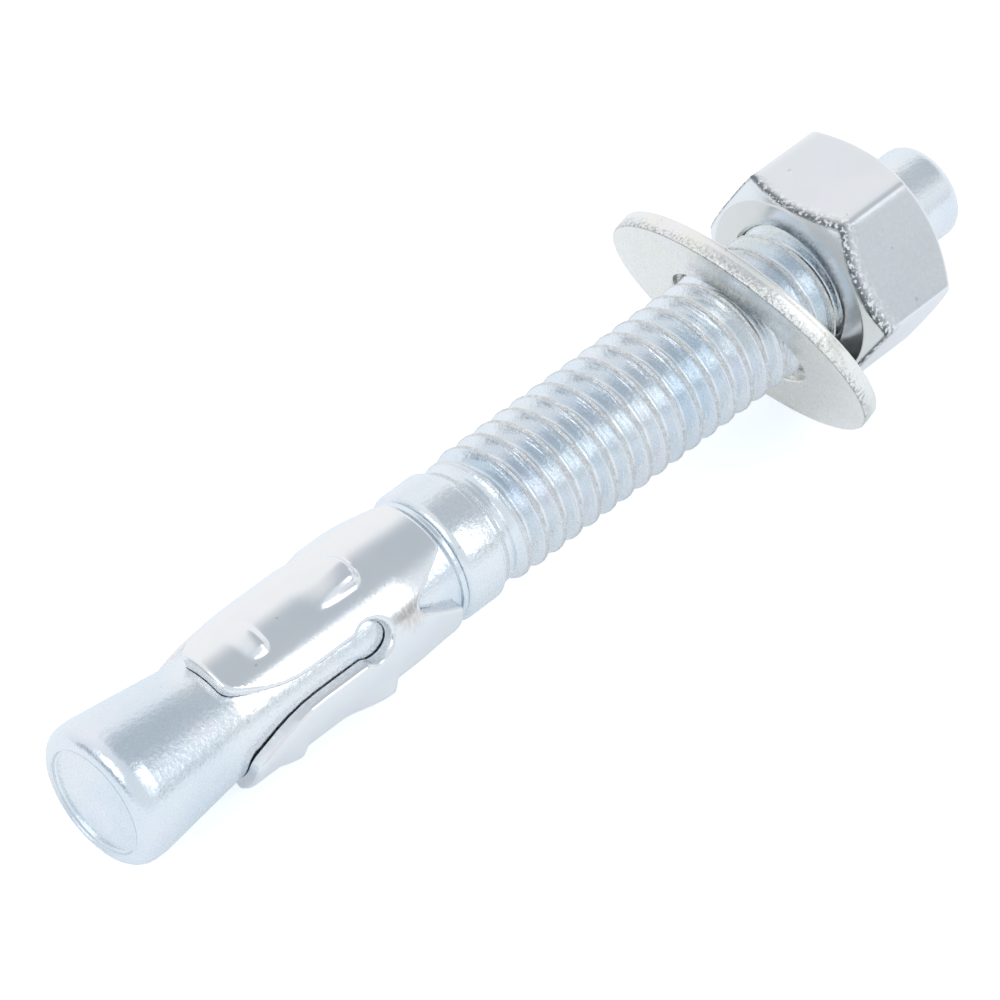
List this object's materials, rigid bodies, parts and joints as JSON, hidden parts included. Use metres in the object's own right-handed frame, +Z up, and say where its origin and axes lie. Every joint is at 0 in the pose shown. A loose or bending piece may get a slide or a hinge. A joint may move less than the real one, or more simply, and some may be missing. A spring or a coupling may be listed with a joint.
{
  "type": "wedge anchor",
  "caption": "Zinc-plated steel wedge anchor: threaded stud with a cone end, rolled expansion clip on its neck, flat washer and hexagon nut.",
  "frame": {"origin": "centre of the bounding box at its bottom, on the ground the anchor lies on", "axes": "+X along the ground from the cone end to the nut end, +Z up; the stud's axis lies in the XZ plane and rises towards +X"},
  "size_m": [0.0764, 0.0208, 0.0191],
  "materials": {
    "stud": "bright zinc plating, slightly grainy",
    "expansion_clip": "bright zinc plating on pressed sheet",
    "washer": "zinc plating, matt rolled faces",
    "hex_nut": "bright zinc plating, rough chamfers"
  },
  "bodies": {
    "stud": {"stud": "stud"},
    "expansion_clip": {"expansion_clip": "expansion_clip"},
    "washer": {"washer": "washer"},
    "hex_nut": {"hex_nut": "hex_nut"}
  },
  "joints": [
    {"name": "clip_turn", "type": "hinge", "parent": "stud", "child": "expansion_clip", "pos_m": [-0.01961, 0, 0.00639], "axis": [0.9969, 0, 0.0789], "continuous": true},
    {"name": "washer_travel", "type": "slide", "parent": "stud", "child": "washer", "axis": [0.9969, 0, 0.0789], "range_m": [-0.0241, 0.0051]},
    {"name": "nut_turn", "type": "hinge", "parent": "washer", "child": "hex_nut", "pos_m": [0.02844, 0, 0.0102], "axis": [0.9969, 0, 0.0789], "range_deg": [-5442.52, 1133.86]}
  ],
  "couplings": [
    {"joint": "washer_travel", "follows": "nut_turn", "m_per_rad": 0.00025266}
  ]
}
